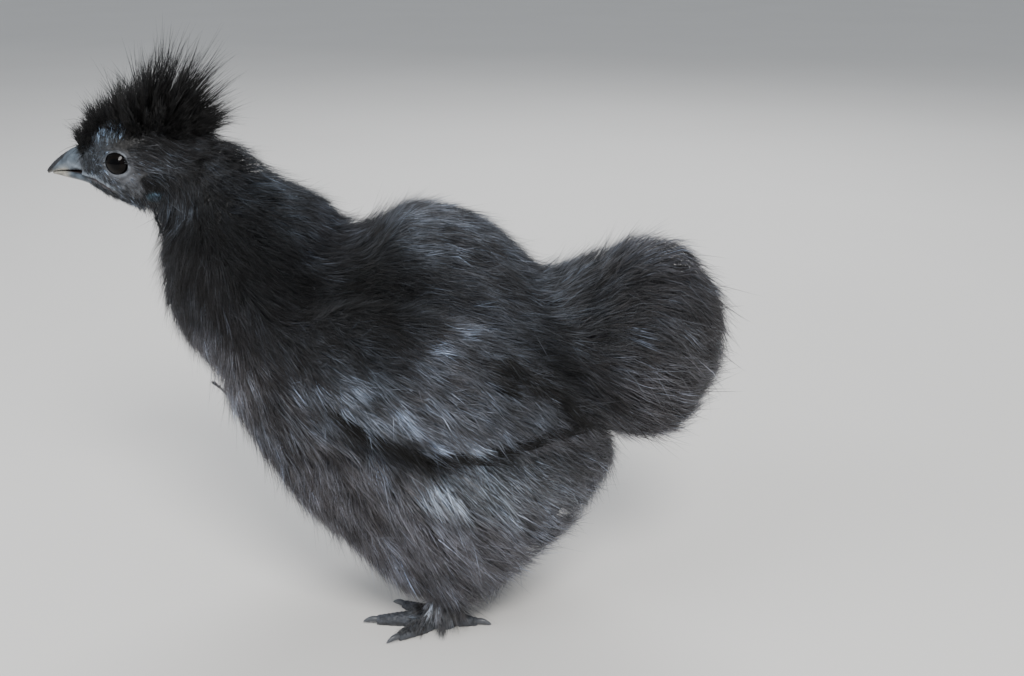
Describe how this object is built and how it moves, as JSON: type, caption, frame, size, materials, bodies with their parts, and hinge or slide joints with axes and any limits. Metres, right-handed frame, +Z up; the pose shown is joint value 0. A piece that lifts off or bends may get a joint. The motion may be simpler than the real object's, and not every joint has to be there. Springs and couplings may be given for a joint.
{
  "type": "silkie chicken",
  "caption": "Young black silkie chicken standing in profile with a fluffy crest, round tail and feathered legs.",
  "frame": {"origin": "on the floor under the middle of the bird's box", "axes": "-X the way the bird faces, -Y its left side, +Z up; X is the longest way and Y the shortest"},
  "size_m": [0.232, 0.1074, 0.202],
  "materials": {
    "face_skin": "slate grey skin with fine down",
    "eye": "near black and wet",
    "earlobe": "dull turquoise skin",
    "horn": "blue grey horn with a black ridge",
    "black_down": "black hair-like feathers",
    "down": "charcoal hair-like feathers",
    "grey_down": "grey brown fluff",
    "leg_skin": "slate scales",
    "claw": "slate horn"
  },
  "bodies": {
    "root": {"head": "face_skin", "eye_right": "eye", "eye_left": "eye", "earlobe_right": "earlobe", "earlobe_left": "earlobe", "beak_upper": "horn", "beak_lower": "horn", "crest": "black_down", "neck": "black_down", "torso": "down", "tail": "down", "wing_right": "down", "wing_left": "down", "thigh_right": "grey_down", "thigh_left": "grey_down", "shank_right": "leg_skin", "shank_left": "leg_skin", "foot_right": "leg_skin", "foot_left": "leg_skin", "claw_right_inner": "claw", "claw_right_middle": "claw", "claw_right_outer": "claw", "claw_right_hind": "claw", "claw_right_fifth": "claw", "claw_left_inner": "claw", "claw_left_middle": "claw", "claw_left_outer": "claw", "claw_left_hind": "claw", "claw_left_fifth": "claw"}
  },
  "joints": []
}
